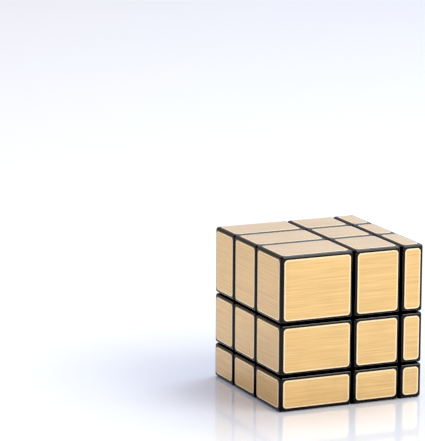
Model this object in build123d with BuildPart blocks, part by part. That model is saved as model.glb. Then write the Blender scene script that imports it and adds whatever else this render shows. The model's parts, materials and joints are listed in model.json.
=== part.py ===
from build123d import *
import os
from math import sqrt

# A mirror block cube: a twisty puzzle of 26 blocks round a six-armed core. All the blocks are
# the same colour, and the three layers along each axis differ in thickness instead.
#
# Millimetres, +Z up. The front of the cube faces -Y and its left side faces -X. The origin is
# on the ground, under the middle of the solved cube. Every mechanism surface is a plane, a
# cylinder or a sphere about the centre of the core, which lies off the middle of the cube.

# ---- driving dimensions -------------------------------------------------------------------
SIDE = 57.0                        # over the foil tiles, each way
LAYERS = (
    (29.0, 19.0, 9.0),             # X: left, middle, right
    (21.0, 19.0, 17.0),            # Y: front, middle, back
    (13.0, 19.0, 25.0),            # Z: bottom, middle, top
)
GAP = 0.3                          # clearance between blocks that turn past each other
EDGE_R = 1.0                       # rounding of every block edge
WALL = 1.5                         # wall of the hollow blocks
SEAM = 0.1                         # joint between a block's tray and its cover

TILE_T = 0.12                      # foil tile thickness
TILE_MARGIN = 1.4                  # tile edge in from the layer's nominal plane
TILE_R = 1.3                       # tile corner radius
TILE_BEVEL = 0.06                  # bevel round the tile's upper edge

BOWL_R = 15.5                      # turned recess that holds the feet of a layer's blocks
BOWL_FLOOR = 5.0                   # height of that recess above the core's centre
FOOT_R = 11.0                      # sphere that the feet close in on

CORE_BALL_R = 6.5
ARM_R = 4.0
ARM_END = 8.0                      # height of an arm's end above the core's centre
SCREW_HOLE_R = 1.5
SCREW_HOLE_END = 3.0               # the hole stops this far from the core's centre

HUB_BASE = 8.2
HUB_FLOOR = 1.4                    # floor of the hub's spring pocket
HUB_TOP = 17.0                     # where the cap meets the hub
HUB_BORE_R = 1.7
POCKET_R = 3.4
PLUG_R = 3.3                       # plug under the cap, in the mouth of the spring pocket
PLUG_H = 0.8
CAP_MIN_HOLLOW = 3.0               # a cap with less room than this is solid

SHANK_R = 1.45
SCREW_TIP = 3.3
HEAD_BASE = 13.8
HEAD_R = 2.9
HEAD_H = 1.8
HEAD_CHAMFER = 0.5
RECESS_L = 3.2                     # cross recess in the screw's head
RECESS_W = 0.8
RECESS_D = 1.0

WIRE_R = 0.3
COIL_R = 2.3
COIL_PITCH = 0.85
SPRING_FOOT_GAP = 0.15             # the turning hub clears the still spring by this
SPRING_HEAD_GAP = 0.05

# ---- what follows from them ---------------------------------------------------------------
LOW = (-SIDE / 2, -SIDE / 2, 0.0)
HIGH = (SIDE / 2, SIDE / 2, SIDE)
MIDDLE = LAYERS[0][1]
CENTRE = tuple(low + layers[0] + MIDDLE / 2 for low, layers in zip(LOW, LAYERS))

INNER = MIDDLE / 2 - GAP / 2       # the middle blocks' half width
OUTER = MIDDLE / 2 + GAP / 2       # where the outer blocks start
CORNER_HOLLOW = OUTER + WALL
EDGE_HOLLOW = (BOWL_R + GAP / 2 + WALL) / sqrt(2)

SIDES = {
    "right": (1, 0, 0),
    "left": (-1, 0, 0),
    "back": (0, 1, 0),
    "front": (0, -1, 0),
    "up": (0, 0, 1),
    "down": (0, 0, -1),
}


def reach(axis, sign):
    """How far the cube's side lies from the core's centre."""
    return HIGH[axis] - CENTRE[axis] if sign > 0 else CENTRE[axis] - LOW[axis]


def span(axis, sign, near, far_inset, half):
    """A block's stretch along one axis: the middle layer's, or an outer layer's."""
    if sign == 0:
        return (-half, half)
    far = reach(axis, sign) - far_inset
    return (near, far) if sign > 0 else (-far, -near)


def spans(cell, near, far_inset, half):
    """The same along all three axes, for the block at cell."""
    return [span(axis, sign, near, far_inset, half) for axis, sign in enumerate(cell)]


def box(stretches, mode=Mode.ADD):
    """A box over three stretches measured from the core's centre."""
    middle = tuple(c + (low + high) / 2 for c, (low, high) in zip(CENTRE, stretches))
    size = [high - low for low, high in stretches]
    with Locations(middle):
        Box(*size, mode=mode)


def axis_plane(axis, sign, height):
    """The plane square to an axis at a height above the core's centre, facing outwards."""
    direction = [0, 0, 0]
    direction[axis] = sign
    across = [0, 0, 0]
    across[(axis + 1) % 3] = 1
    origin = [c + d * height for c, d in zip(CENTRE, direction)]
    return Plane(origin=origin, x_dir=across, z_dir=direction)


def side_axis(cell):
    """The axis and sign of a side, from its direction."""
    axis = next(i for i, sign in enumerate(cell) if sign)
    return axis, cell[axis]


def outward(axis, sign):
    """The same direction as a build123d axis, for sorting faces."""
    return axis_plane(axis, sign, 0).z_dir


def cell_name(cell):
    """Its sides' names, from the most to the least telling: up_front_left."""
    words = []
    for axis in (2, 1, 0):
        for name, direction in SIDES.items():
            if cell[axis] and direction[axis] == cell[axis]:
                words.append(name)
    return "_".join(words)


def cut_bowls(axis):
    """Cut the two turned recesses of an axis out of the part being built."""
    for sign in (-1, 1):
        with BuildSketch(axis_plane(axis, sign, BOWL_FLOOR - GAP / 2)) as bowl:
            Circle(BOWL_R + GAP / 2)
        extrude(bowl.sketch, amount=MIDDLE / 2, mode=Mode.SUBTRACT)


def keep_in_bowl(axis):
    """Keep what lies inside the recess of an axis, less the clearance."""
    with BuildSketch(axis_plane(axis, 1, 0)) as bowl:
        Circle(BOWL_R - GAP / 2)
    extrude(bowl.sketch, amount=BOWL_R, both=True, mode=Mode.INTERSECT)


# ---- the blocks ---------------------------------------------------------------------------
def make_block(cell):
    """The rounded outer form of an edge or corner block."""
    with BuildPart() as block:
        box(spans(cell, OUTER, TILE_T, INNER))
        fillet(block.edges(), EDGE_R)
    return block.part


def make_foot(cell):
    """The foot that holds a block in the recesses of the layers it belongs to."""
    low = BOWL_FLOOR + GAP / 2
    half = BOWL_FLOOR - GAP / 2
    stretches = []
    for sign in cell:
        if sign == 0:
            stretches.append((-half, half))
        else:
            stretches.append((low, BOWL_R) if sign > 0 else (-BOWL_R, -low))
    with BuildPart() as foot:
        box(stretches)
        for axis, sign in enumerate(cell):
            if sign:
                keep_in_bowl(axis)
        with Locations(CENTRE):
            Sphere(FOOT_R + GAP / 2, mode=Mode.SUBTRACT)
    return foot.part


def make_tray(cell, block, hollow_from):
    """The inner half of a block: its walls towards the core, with the foot."""
    foot = make_foot(cell)
    with BuildPart() as tray:
        add(block)
        box(spans(cell, OUTER, TILE_T + WALL, INNER), mode=Mode.INTERSECT)
        for axis, sign in enumerate(cell):
            if sign == 0:
                cut_bowls(axis)
        add(foot)
        box(spans(cell, hollow_from, TILE_T + WALL, INNER - WALL), mode=Mode.SUBTRACT)
    return tray.part


def make_cover(cell, block):
    """The outer half of a block: the walls that carry the tiles."""
    with BuildPart() as cover:
        add(block)
        box(spans(cell, 0, TILE_T + WALL - SEAM, INNER + SEAM), mode=Mode.SUBTRACT)
    return cover.part


def make_outer_block(cell):
    """An edge or corner block, as its tray and its cover."""
    block = make_block(cell)
    kind = "corner" if all(cell) else "edge"
    hollow_from = CORNER_HOLLOW if all(cell) else EDGE_HOLLOW
    tray = make_tray(cell, block, hollow_from)
    cover = make_cover(cell, block)
    with BuildPart() as piece:
        add(tray)
        add(cover)
    piece.part.label = kind + "_" + cell_name(cell)
    return piece.part


def make_hub(cell):
    """The stem of a middle block, which turns on its arm's screw, with its spring pocket."""
    axis, sign = side_axis(cell)
    with BuildPart() as hub:
        with BuildSketch(axis_plane(axis, sign, HUB_BASE)):
            RectangleRounded(2 * INNER, 2 * INNER, EDGE_R)
        extrude(amount=HUB_TOP - HUB_BASE)
        cut_bowls((axis + 1) % 3)
        cut_bowls((axis + 2) % 3)
        with BuildSketch(axis_plane(axis, sign, HUB_BASE + HUB_FLOOR)):
            Circle(POCKET_R)
        extrude(amount=HUB_TOP - HUB_BASE - HUB_FLOOR, mode=Mode.SUBTRACT)
        with BuildSketch(axis_plane(axis, sign, HUB_BASE)):
            Circle(HUB_BORE_R)
        extrude(amount=HUB_FLOOR, mode=Mode.SUBTRACT)
    hub.part.label = "hub_" + cell_name(cell)
    return hub.part


def make_cap(cell):
    """The cap that closes a hub over its screw and carries the middle tile."""
    axis, sign = side_axis(cell)
    height = reach(axis, sign) - TILE_T - HUB_TOP
    with BuildPart() as cap:
        with BuildSketch(axis_plane(axis, sign, HUB_TOP)):
            RectangleRounded(2 * INNER, 2 * INNER, EDGE_R)
        extrude(amount=height)
        outer_face = cap.faces().sort_by(Axis(CENTRE, outward(axis, sign)))[-1]
        fillet(outer_face.edges(), EDGE_R)
        with BuildSketch(axis_plane(axis, sign, HUB_TOP)):
            Circle(PLUG_R)
        extrude(amount=-PLUG_H)
        if height - 2 * WALL > CAP_MIN_HOLLOW:
            with BuildSketch(axis_plane(axis, sign, HUB_TOP + WALL)):
                Rectangle(2 * (INNER - WALL), 2 * (INNER - WALL))
            extrude(amount=height - 2 * WALL, mode=Mode.SUBTRACT)
    cap.part.label = "cap_" + cell_name(cell)
    return cap.part


# ---- the foil tiles -----------------------------------------------------------------------
def make_tiles(cell):
    """A block's foil tiles, one on each of its outer faces."""
    nominal = spans(cell, MIDDLE / 2, 0, MIDDLE / 2)
    with BuildPart() as tiles:
        for axis, sign in enumerate(cell):
            if sign == 0:
                continue
            u = (axis + 1) % 3
            v = (axis + 2) % 3
            origin = list(axis_plane(axis, sign, reach(axis, sign) - TILE_T).origin)
            across = [0, 0, 0]
            across[u] = 1
            for other in (u, v):
                origin[other] += sum(nominal[other]) / 2
            direction = outward(axis, sign)
            width = nominal[u][1] - nominal[u][0] - 2 * TILE_MARGIN
            height = nominal[v][1] - nominal[v][0] - 2 * TILE_MARGIN
            with BuildSketch(Plane(origin=origin, x_dir=across, z_dir=direction)):
                RectangleRounded(width, height, TILE_R)
            extrude(amount=TILE_T)
            upper_face = tiles.faces().sort_by(Axis(CENTRE, direction))[-1]
            chamfer(upper_face.edges(), TILE_BEVEL)
    count = sum(abs(sign) for sign in cell)
    tiles.part.label = ("tile_" if count == 1 else "tiles_") + cell_name(cell)
    return tiles.part


# ---- the core and what holds the hubs on it -----------------------------------------------
def make_core():
    """The six-armed spider at the heart of the cube."""
    with BuildPart() as core:
        with Locations(CENTRE):
            Sphere(CORE_BALL_R)
        for cell in SIDES.values():
            with BuildSketch(axis_plane(*side_axis(cell), 0)):
                Circle(ARM_R)
            extrude(amount=ARM_END)
        for cell in SIDES.values():
            with BuildSketch(axis_plane(*side_axis(cell), SCREW_HOLE_END)):
                Circle(SCREW_HOLE_R)
            extrude(amount=ARM_END - SCREW_HOLE_END, mode=Mode.SUBTRACT)
    core.part.label = "core_spider"
    return core.part


def make_spring(cell):
    """The coil spring between a hub's floor and its screw's head."""
    axis, sign = side_axis(cell)
    start = HUB_BASE + HUB_FLOOR + SPRING_FOOT_GAP + WIRE_R
    height = HEAD_BASE - SPRING_HEAD_GAP - WIRE_R - start
    plane = axis_plane(axis, sign, start)
    with BuildPart() as spring:
        with BuildLine() as coil:
            Helix(COIL_PITCH, height, COIL_R, center=plane.origin, direction=plane.z_dir)
        with BuildSketch(Plane(origin=coil.line @ 0, z_dir=coil.line % 0)):
            Circle(WIRE_R)
        sweep(is_frenet=True)
    return spring.part


def make_screw(cell):
    """The pan-head screw that holds a hub on its arm."""
    axis, sign = side_axis(cell)
    with BuildPart() as screw:
        with BuildSketch(axis_plane(axis, sign, HEAD_BASE)):
            Circle(HEAD_R)
        extrude(amount=HEAD_H)
        top = screw.faces().sort_by(Axis(CENTRE, outward(axis, sign)))[-1]
        chamfer(top.edges(), HEAD_CHAMFER)
        with BuildSketch(axis_plane(axis, sign, SCREW_TIP)):
            Circle(SHANK_R)
        extrude(amount=HEAD_BASE - SCREW_TIP)
        with BuildSketch(axis_plane(axis, sign, HEAD_BASE + HEAD_H)):
            Rectangle(RECESS_L, RECESS_W)
            Rectangle(RECESS_W, RECESS_L)
        extrude(amount=-RECESS_D, mode=Mode.SUBTRACT)
    return screw.part


def make_screw_sets():
    """The six screws, each with its spring."""
    loose = [make_screw(cell) for cell in SIDES.values()]
    loose += [make_spring(cell) for cell in SIDES.values()]
    with BuildPart() as sets:
        add(loose)
    sets.part.label = "tension_screws_and_springs"
    return sets.part


pieces = [make_core(), make_screw_sets()]
signs = (-1, 0, 1)
for cell in [(x, y, z) for z in signs for y in signs for x in signs]:
    count = sum(abs(sign) for sign in cell)
    if count == 1:
        pieces.append(make_hub(cell))
        pieces.append(make_cap(cell))
    elif count > 1:
        pieces.append(make_outer_block(cell))
    if count:
        pieces.append(make_tiles(cell))

os.makedirs("parts", exist_ok=True)
for piece in pieces:
    export_step(piece, f"parts/{piece.label}.step")
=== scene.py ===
import json
import math
import random

import bmesh
import bpy
from mathutils import Matrix, Vector


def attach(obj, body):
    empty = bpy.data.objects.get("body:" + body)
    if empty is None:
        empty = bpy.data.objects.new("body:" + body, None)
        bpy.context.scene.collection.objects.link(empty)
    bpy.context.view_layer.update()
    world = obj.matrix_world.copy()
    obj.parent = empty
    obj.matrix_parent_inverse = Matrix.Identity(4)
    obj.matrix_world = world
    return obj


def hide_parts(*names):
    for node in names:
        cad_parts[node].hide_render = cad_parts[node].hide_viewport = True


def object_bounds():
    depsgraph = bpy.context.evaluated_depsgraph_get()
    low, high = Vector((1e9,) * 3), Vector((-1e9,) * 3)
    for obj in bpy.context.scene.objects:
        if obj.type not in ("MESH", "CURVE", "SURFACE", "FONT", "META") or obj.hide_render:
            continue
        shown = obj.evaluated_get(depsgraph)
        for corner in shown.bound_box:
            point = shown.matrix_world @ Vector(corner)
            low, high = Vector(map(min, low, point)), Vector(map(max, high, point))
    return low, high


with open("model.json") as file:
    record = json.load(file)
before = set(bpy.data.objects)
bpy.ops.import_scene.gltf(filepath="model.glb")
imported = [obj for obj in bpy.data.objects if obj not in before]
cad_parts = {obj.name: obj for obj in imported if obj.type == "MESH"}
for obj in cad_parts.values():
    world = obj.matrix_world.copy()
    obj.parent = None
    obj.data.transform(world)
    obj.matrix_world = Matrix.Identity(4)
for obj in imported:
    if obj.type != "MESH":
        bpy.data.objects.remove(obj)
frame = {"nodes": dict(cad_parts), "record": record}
CAD_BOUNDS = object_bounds()

# Everything is in metres. The front of the cube faces -Y and its left side faces -X.
MM = 0.001
LOW, HIGH = CAD_BOUNDS
MIDDLE = (LOW + HIGH) / 2

# ---- camera: where it stands, seen from the cube, and how far it looks past the cube --------
STAND_TURN = -26.196               # degrees round the cube from its front, towards its left
STAND_RISE = 13.535                # degrees above the horizontal
STAND_DISTANCE = 1.101
AIM_TURN = -2.067                  # the view's middle lies this many degrees left of the cube
AIM_RISE = 1.706                   # and this many above it
ROLL = 0.305                       # degrees
LENS = 244.9                       # millimetres, as the sensor
SENSOR = 36.0
NEAREST = 0.01                     # what the camera can see lies between these distances
FURTHEST = 100

# ---- the foil tiles -------------------------------------------------------------------------
TILE_CORNER = 1.3 * MM             # radius of a tile's corners
LEAST_CORNER = 0.1 * MM            # and the least that it shrinks to inside the tile
RIM = 0.50 * MM                    # width of the bevel round a tile
LIP = 0.3                          # share of a tile's thickness that stands up below its bevel
CROWN = 0.012 * MM                 # how far a tile's face falls from its middle to its bevel
LAST_RING = 0.25 * MM              # from the innermost ring to the tile's middle line
CORNER_STEPS = 10
RIM_STEPS = 5
FACE_RINGS = 6
FILM_SLOT, RIM_SLOT = 0, 1         # a tile's material slots
WELD = 0.001 * MM                  # points nearer than this are one
SEED = 57                          # decides which stretch of film each tile is cut from

# ---- the stage ------------------------------------------------------------------------------
FLOOR_REACH = 12.0
ROOM_AXIS = (0.5, -0.866, 0.0)     # level, from the back left of the room to its front right
ROOM_TONES = [                     # along that axis, from 0 to 1
    (0.03, (0.69, 0.60, 0.44)),
    (0.25, (0.60, 0.645, 0.84)),
    (1.0, (1.04, 1.03, 0.95)),
]
SOFTBOX_DISTANCE = 1.3
SOFTBOXES = [                      # name, turn and rise in degrees, side, power in watts, colour
    ("key", 40, 42, 0.9, 6.6, (1.0, 0.985, 0.91)),
    ("side", 120, 60, 0.6, 5.8, (0.68, 0.87, 1.0)),
]
BLACK_LEVEL = (0.028, 0.0295, 0.0285)
WHITE_LEVEL = (0.93, 0.95, 0.965)


# ---- node helpers ---------------------------------------------------------------------------
def new_material(name):
    """A material with a fresh Principled shader, and its node tree."""
    material = bpy.data.materials.new(name)
    material.use_nodes = True
    tree = material.node_tree
    tree.nodes.clear()
    shader = tree.nodes.new("ShaderNodeBsdfPrincipled")
    output = tree.nodes.new("ShaderNodeOutputMaterial")
    tree.links.new(shader.outputs["BSDF"], output.inputs["Surface"])
    return material, tree, shader


def add_node(tree, kind, inputs=None, **settings):
    """A node with its settings, and input sockets set to values or linked to other sockets."""
    node = tree.nodes.new(kind)
    for key, value in settings.items():
        setattr(node, key, value)
    for key, value in (inputs or {}).items():
        if isinstance(value, bpy.types.NodeSocket):
            tree.links.new(value, node.inputs[key])
        else:
            node.inputs[key].default_value = value
    return node


def coordinates(tree, kind):
    """A texture coordinate: Object is metres in the object, Generated a direction in the room."""
    return add_node(tree, "ShaderNodeTexCoord").outputs[kind]


def ramp(tree, source, stops):
    """A colour ramp from (position, colour) stops."""
    node = add_node(tree, "ShaderNodeValToRGB", {"Fac": source})
    elements = node.color_ramp.elements
    while len(elements) < len(stops):
        elements.new(0.5)
    for element, (position, colour) in zip(elements, stops):
        element.position = position
        element.color = (*colour, 1.0)
    return node.outputs["Color"]


def mottle(tree, source, first, second):
    """A colour that drifts from a first to a second over the middle of a noise's range."""
    return ramp(tree, source, [(0.3, first), (0.7, second)])


def to_range(tree, source, low, high):
    """A 0 to 1 value carried to low to high."""
    node = add_node(tree, "ShaderNodeMapRange", {"Value": source, "To Min": low, "To Max": high})
    return node.outputs["Result"]


def mix(tree, share, a, b, **settings):
    """Two values or colours mixed, by the share that the second has."""
    node = add_node(tree, "ShaderNodeMix", {"Factor": share, "A": a, "B": b}, **settings)
    return node.outputs["Result"]


def noise(tree, vector, scale, detail=2.0, roughness=0.5, distortion=0.0):
    """Noise at points of a vector socket."""
    inputs = {
        "Vector": vector,
        "Scale": scale,
        "Detail": detail,
        "Roughness": roughness,
        "Distortion": distortion,
    }
    return add_node(tree, "ShaderNodeTexNoise", inputs).outputs["Fac"]


def line_noise(tree, sheet, along, across, detail, roughness):
    """Noise drawn out into lines along U: so many features per metre along and across them."""
    scale = (along, across, 1.0)
    stretched = add_node(tree, "ShaderNodeMapping", {"Vector": sheet, "Scale": scale})
    return noise(tree, stretched.outputs["Vector"], 1.0, detail, roughness)


def bump(tree, height, distance, strength=1.0, normal=None):
    """A bump of a given depth in metres."""
    inputs = {"Height": height, "Distance": distance, "Strength": strength}
    if normal:
        inputs["Normal"] = normal
    return add_node(tree, "ShaderNodeBump", inputs).outputs["Normal"]


def feed(tree, shader, sockets):
    """Link or set sockets of a shader by name."""
    for name, value in sockets.items():
        if isinstance(value, bpy.types.NodeSocket):
            tree.links.new(value, shader.inputs[name])
        else:
            shader.inputs[name].default_value = value


# ---- materials ------------------------------------------------------------------------------
def moulded_black():
    """Semi-gloss black ABS, with the faint unevenness of moulding."""
    material, tree, shader = new_material("moulded_black")
    place = coordinates(tree, "Object")
    swirl = noise(tree, place, scale=160.0, detail=3.0, roughness=0.55, distortion=0.3)
    grain = noise(tree, place, scale=5200.0)
    waves = noise(tree, place, scale=700.0)
    uneven = bump(tree, waves, 0.004 * MM)
    feed(tree, shader, {
        "Base Color": mottle(tree, swirl, (0.0026, 0.0016, 0.0010), (0.0044, 0.0028, 0.0018)),
        "Roughness": to_range(tree, swirl, 0.12, 0.20),
        "Normal": bump(tree, grain, 0.0010 * MM, 0.6, uneven),
    })
    return material


def brushed_gold():
    """Gold metallised film with brush lines along U, under a clear skin."""
    material, tree, shader = new_material("brushed_gold")
    sheet = add_node(tree, "ShaderNodeUVMap", uv_map="brush").outputs["UV"]
    fine = line_noise(tree, sheet, along=50.0, across=5200.0, detail=3.0, roughness=0.6)
    broad = line_noise(tree, sheet, along=35.0, across=1900.0, detail=2.0, roughness=0.5)
    cloud = noise(tree, sheet, scale=60.0)
    lines = mix(tree, 0.45, fine, broad, data_type="FLOAT")
    streaks = ramp(
        tree,
        lines,
        [
            (0.28, (0.54, 0.337, 0.135)),
            (0.45, (0.695, 0.459, 0.195)),
            (0.58, (0.78, 0.530, 0.238)),
            (0.75, (0.89, 0.643, 0.350)),
        ],
    )
    tone = ramp(tree, cloud, [(0.35, (0.93, 0.93, 0.95)), (0.65, (1.0, 1.0, 1.0))])
    tangent = add_node(tree, "ShaderNodeTangent", direction_type="UV_MAP", uv_map="brush")
    feed(tree, shader, {
        "Base Color": mix(tree, 1.0, streaks, tone, data_type="RGBA", blend_type="MULTIPLY"),
        "Roughness": to_range(tree, lines, 0.42, 0.32),
        "Normal": bump(tree, lines, 0.004 * MM, 0.7),
        "Tangent": tangent.outputs["Tangent"],
        "Metallic": 1.0,
        "Anisotropic": 0.75,
        "Anisotropic Rotation": 0.25,
        "Coat Weight": 1.0,
        "Coat IOR": 1.5,
        "Coat Roughness": 0.15,
    })
    return material


def pale_rim_painted_highlight():
    """The tile's bevelled edge: the film's paler cut edge, its base colour also raised to cream
    as a painted highlight along the rim.
    """
    material, tree, shader = new_material("pale_rim_painted_highlight")
    patches = noise(tree, coordinates(tree, "Object"), scale=420.0)
    feed(tree, shader, {
        # painted highlight: the cream base colour is partly the film's pale cut edge and partly a
        # highlight painted along the bevel
        "Base Color": mottle(tree, patches, (0.93, 0.73, 0.45), (0.98, 0.81, 0.55)),
        "Roughness": to_range(tree, patches, 0.35, 0.5),
        "Metallic": 0.35,
    })
    return material


def core_plastic():
    """Pale satin nylon."""
    material, tree, shader = new_material("core_plastic")
    place = coordinates(tree, "Object")
    patches = noise(tree, place, scale=300.0, detail=3.0)
    grain = noise(tree, place, scale=4000.0)
    feed(tree, shader, {
        "Base Color": mottle(tree, patches, (0.62, 0.61, 0.58), (0.72, 0.71, 0.68)),
        "Roughness": to_range(tree, patches, 0.42, 0.55),
        "Normal": bump(tree, grain, 0.003 * MM),
        "Subsurface Weight": 0.05,
    })
    return material


def zinc_steel():
    """Zinc-plated steel, dulled in patches."""
    material, tree, shader = new_material("zinc_steel")
    patches = noise(tree, coordinates(tree, "Object"), scale=600.0, detail=3.0)
    feed(tree, shader, {
        "Base Color": mottle(tree, patches, (0.50, 0.50, 0.49), (0.68, 0.68, 0.66)),
        "Roughness": to_range(tree, patches, 0.25, 0.4),
        "Metallic": 1.0,
    })
    return material


def pale_floor():
    """A smooth pale surface with a sheen, its colour darker and bluer close round the cube as
    painted shade round the cube's foot.
    """
    material, tree, shader = new_material("pale_floor")
    place = coordinates(tree, "Object")
    away = add_node(tree, "ShaderNodeVectorMath", {0: place}, operation="LENGTH").outputs["Value"]
    # painted shade: the colour is darker and bluer out to about 0.13 m from the floor's origin,
    # under the cube
    painted_shade_tones = [(0.04, (0.80, 0.82, 0.89)), (0.13, (1.0, 0.985, 0.965))]
    feed(tree, shader, {"Base Color": ramp(tree, away, painted_shade_tones), "Roughness": 0.10})
    return material


# ---- the tiles ------------------------------------------------------------------------------
def islands(mesh):
    """The lowest and highest corners of each separate solid of a mesh, in a fixed order."""
    work = bmesh.new()
    work.from_mesh(mesh)
    bmesh.ops.remove_doubles(work, verts=work.verts, dist=WELD)
    unseen = set(work.verts)
    boxes = []
    while unseen:
        stack = [unseen.pop()]
        points = []
        while stack:
            vert = stack.pop()
            points.append(vert.co.copy())
            for edge in vert.link_edges:
                other = edge.other_vert(vert)
                if other in unseen:
                    unseen.remove(other)
                    stack.append(other)
        low = Vector([min(p[i] for p in points) for i in range(3)])
        high = Vector([max(p[i] for p in points) for i in range(3)])
        boxes.append((low, high))
    work.free()
    return sorted(boxes, key=lambda box: tuple(round(x, 6) for x in box[0]))


def rounded_outline(half_u, half_v, radius):
    """Points round a rounded rectangle, anticlockwise from its right side."""
    points = []
    for corner in range(4):
        sign_u = 1 if corner in (0, 3) else -1
        sign_v = 1 if corner in (0, 1) else -1
        for step in range(CORNER_STEPS + 1):
            angle = math.radians(90 * (corner + step / CORNER_STEPS))
            points.append((
                sign_u * (half_u - radius) + radius * math.cos(angle),
                sign_v * (half_v - radius) + radius * math.sin(angle),
            ))
    return points


def tile_rings(half_u, half_v, thickness):
    """Rings of points from a tile's foot, over its bevel, to near the middle of its face."""
    rings = [(0.0, 0.0)]
    lip = LIP * thickness
    shoulder = thickness - CROWN
    for step in range(RIM_STEPS + 1):
        angle = math.radians(90 * step / RIM_STEPS)
        inset = RIM * (1 - math.cos(angle))
        rings.append((inset, lip + (shoulder - lip) * math.sin(angle)))
    deepest = min(half_u, half_v) - LAST_RING
    for step in range(1, FACE_RINGS + 1):
        share = step / FACE_RINGS
        inset = RIM + (deepest - RIM) * share
        rings.append((inset, thickness - CROWN * (1 - share) ** 2))
    made = []
    for inset, height in rings:
        radius = max(TILE_CORNER - inset, LEAST_CORNER)
        outline = rounded_outline(half_u - inset, half_v - inset, radius)
        made.append([(u, v, height) for u, v in outline])
    return made


def tile_frame(low, high):
    """A tile's foot as a matrix (U along the brushing, V across it, W outwards), then half its
    size along U and along V, and its thickness."""
    size = high - low
    normal_axis = min(range(3), key=lambda i: size[i])
    brush_axis = 1 if normal_axis == 0 else 0
    across_axis = 3 - normal_axis - brush_axis
    middle = (low + high) / 2
    w = Vector((0, 0, 0))
    w[normal_axis] = 1 if middle[normal_axis] > MIDDLE[normal_axis] else -1
    u = Vector((0, 0, 0))
    u[brush_axis] = 1
    v = w.cross(u)
    foot = middle - w * size[normal_axis] / 2
    matrix = Matrix((
        (u.x, v.x, w.x, foot.x),
        (u.y, v.y, w.y, foot.y),
        (u.z, v.z, w.z, foot.z),
        (0, 0, 0, 1),
    ))
    return matrix, size[brush_axis] / 2, size[across_axis] / 2, size[normal_axis]


def add_tile(work, uv_layer, low, high, shift):
    """Build one closed tile into a bmesh, with UVs in metres of film."""
    matrix, half_u, half_v, thickness = tile_frame(low, high)
    place = {}
    loops = []
    for ring in tile_rings(half_u, half_v, thickness):
        verts = []
        for point in ring:
            vert = work.verts.new(matrix @ Vector(point))
            place[vert] = point
            verts.append(vert)
        loops.append(verts)
    count = len(loops[0])
    faces = []
    for level, (outer, inner) in enumerate(zip(loops, loops[1:])):
        for i in range(count):
            after = (i + 1) % count
            face = work.faces.new((outer[i], outer[after], inner[after], inner[i]))
            face.material_index = RIM_SLOT if level <= RIM_STEPS else FILM_SLOT
            faces.append(face)
    faces.append(work.faces.new(loops[-1]))
    faces.append(work.faces.new(reversed(loops[0])))
    faces[-1].material_index = RIM_SLOT
    for face in faces:
        face.smooth = True
        for loop in face.loops:
            u, v, _ = place[loop.vert]
            loop[uv_layer].uv = (u + shift[0], v + shift[1])


def make_tiles(node, body, film, rim, dice):
    """The foil tiles of one block, in place of their CAD node."""
    work = bmesh.new()
    uv_layer = work.loops.layers.uv.new("brush")
    for low, high in islands(frame["nodes"][node].data):
        shift = (dice.uniform(0, 1), dice.uniform(0, 1))
        add_tile(work, uv_layer, low, high, shift)
    mesh = bpy.data.meshes.new("foil_" + node)
    work.to_mesh(mesh)
    work.free()
    mesh.materials.append(film)
    mesh.materials.append(rim)
    piece = bpy.data.objects.new("foil_" + node, mesh)
    bpy.context.scene.collection.objects.link(piece)
    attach(piece, body)
    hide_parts(node)


def dress(node, material):
    """Give a CAD node a material."""
    piece = frame["nodes"][node]
    for slot in piece.material_slots:
        slot.link = "OBJECT"
        slot.material = material


def make_cube():
    """Every node of the cube in its material, with the foil tiles built anew."""
    black = moulded_black()
    film = brushed_gold()
    rim = pale_rim_painted_highlight()
    inside = {"core_spider": core_plastic(), "tension_screws_and_springs": zinc_steel()}
    bodies = frame["record"]["behaviour"]["bodies"]
    body_of = {node: body for body, nodes in bodies.items() for node in nodes}
    dice = random.Random(SEED)
    for node in sorted(frame["nodes"]):
        if node.startswith("tile"):
            make_tiles(node, body_of[node], film, rim, dice)
        else:
            dress(node, inside.get(node, black))


# ---- the stage ------------------------------------------------------------------------------
def add_floor():
    """A surface under the cube, far larger than the view, pale with painted shade round the
    cube's foot.
    """
    mesh = bpy.data.meshes.new("floor")
    reach = FLOOR_REACH
    corners = [(-reach, -reach, 0), (reach, -reach, 0), (reach, reach, 0), (-reach, reach, 0)]
    mesh.from_pydata(corners, [], [(0, 1, 2, 3)])
    mesh.materials.append(pale_floor())
    floor = bpy.data.objects.new("floor", mesh)
    floor.location.z = LOW.z
    bpy.context.scene.collection.objects.link(floor)


def direction(turn, rise):
    """The unit vector towards a place round the cube: turn from its front, rise above it."""
    a = math.radians(turn)
    e = math.radians(rise)
    return Vector((math.sin(a) * math.cos(e), -math.cos(a) * math.cos(e), math.sin(e)))


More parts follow.
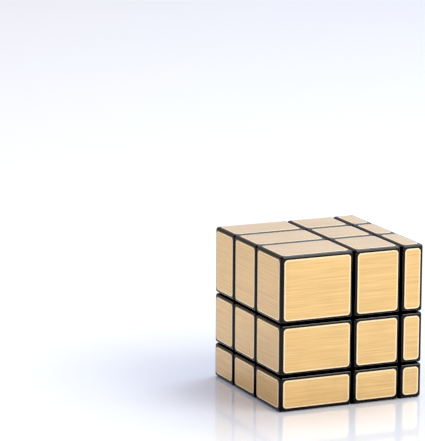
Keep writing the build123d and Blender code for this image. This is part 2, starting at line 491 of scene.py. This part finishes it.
def add_softbox(name, turn, rise, side, power, colour):
    """A square soft light aimed at the cube from a direction round it."""
    data = bpy.data.lights.new(name, "AREA")
    data.shape = "SQUARE"
    data.size = side
    data.energy = power
    data.color = colour
    lamp = bpy.data.objects.new(name, data)
    away = direction(turn, rise)
    lamp.location = MIDDLE + away * SOFTBOX_DISTANCE
    lamp.rotation_mode = "QUATERNION"
    lamp.rotation_quaternion = (-away).to_track_quat("-Z", "Y")
    bpy.context.scene.collection.objects.link(lamp)


def add_room():
    """A room that is white at the front right, bluish further back and warm at the back left."""
    world = bpy.data.worlds.new("studio")
    world.use_nodes = True
    tree = world.node_tree
    across = add_node(
        tree,
        "ShaderNodeVectorMath",
        {0: coordinates(tree, "Generated"), 1: ROOM_AXIS},
        operation="DOT_PRODUCT",
    ).outputs["Value"]
    share = add_node(
        tree, "ShaderNodeMapRange", {"Value": across, "From Min": -1.0, "From Max": 1.0}
    ).outputs["Result"]
    tree.links.new(ramp(tree, share, ROOM_TONES), tree.nodes["Background"].inputs["Color"])
    bpy.context.scene.world = world


def add_lights():
    """The room, a large white softbox at the front right and a bluish one high on the right."""
    add_room()
    for softbox in SOFTBOXES:
        add_softbox(*softbox)


def set_levels():
    """Plain colours, with the darkest tones taken down to black and the lightest up to white."""
    view = bpy.context.scene.view_settings
    view.view_transform = "Standard"
    view.use_curve_mapping = True
    view.curve_mapping.black_level = BLACK_LEVEL
    view.curve_mapping.white_level = WHITE_LEVEL
    view.curve_mapping.update()


def add_camera():
    """A long lens in front of the cube, to its left and a little above it."""
    data = bpy.data.cameras.new("camera")
    data.sensor_width = SENSOR
    data.lens = LENS
    data.clip_start = NEAREST
    data.clip_end = FURTHEST
    camera = bpy.data.objects.new("camera", data)
    camera.location = MIDDLE + direction(STAND_TURN, STAND_RISE) * STAND_DISTANCE
    look = -direction(STAND_TURN - AIM_TURN, STAND_RISE - AIM_RISE)
    camera.rotation_mode = "QUATERNION"
    roll = Matrix.Rotation(math.radians(ROLL), 3, "Z").to_quaternion()
    camera.rotation_quaternion = look.to_track_quat("-Z", "Y") @ roll
    bpy.context.scene.collection.objects.link(camera)
    bpy.context.scene.camera = camera


add_camera()
add_lights()
add_floor()
set_levels()
make_cube()
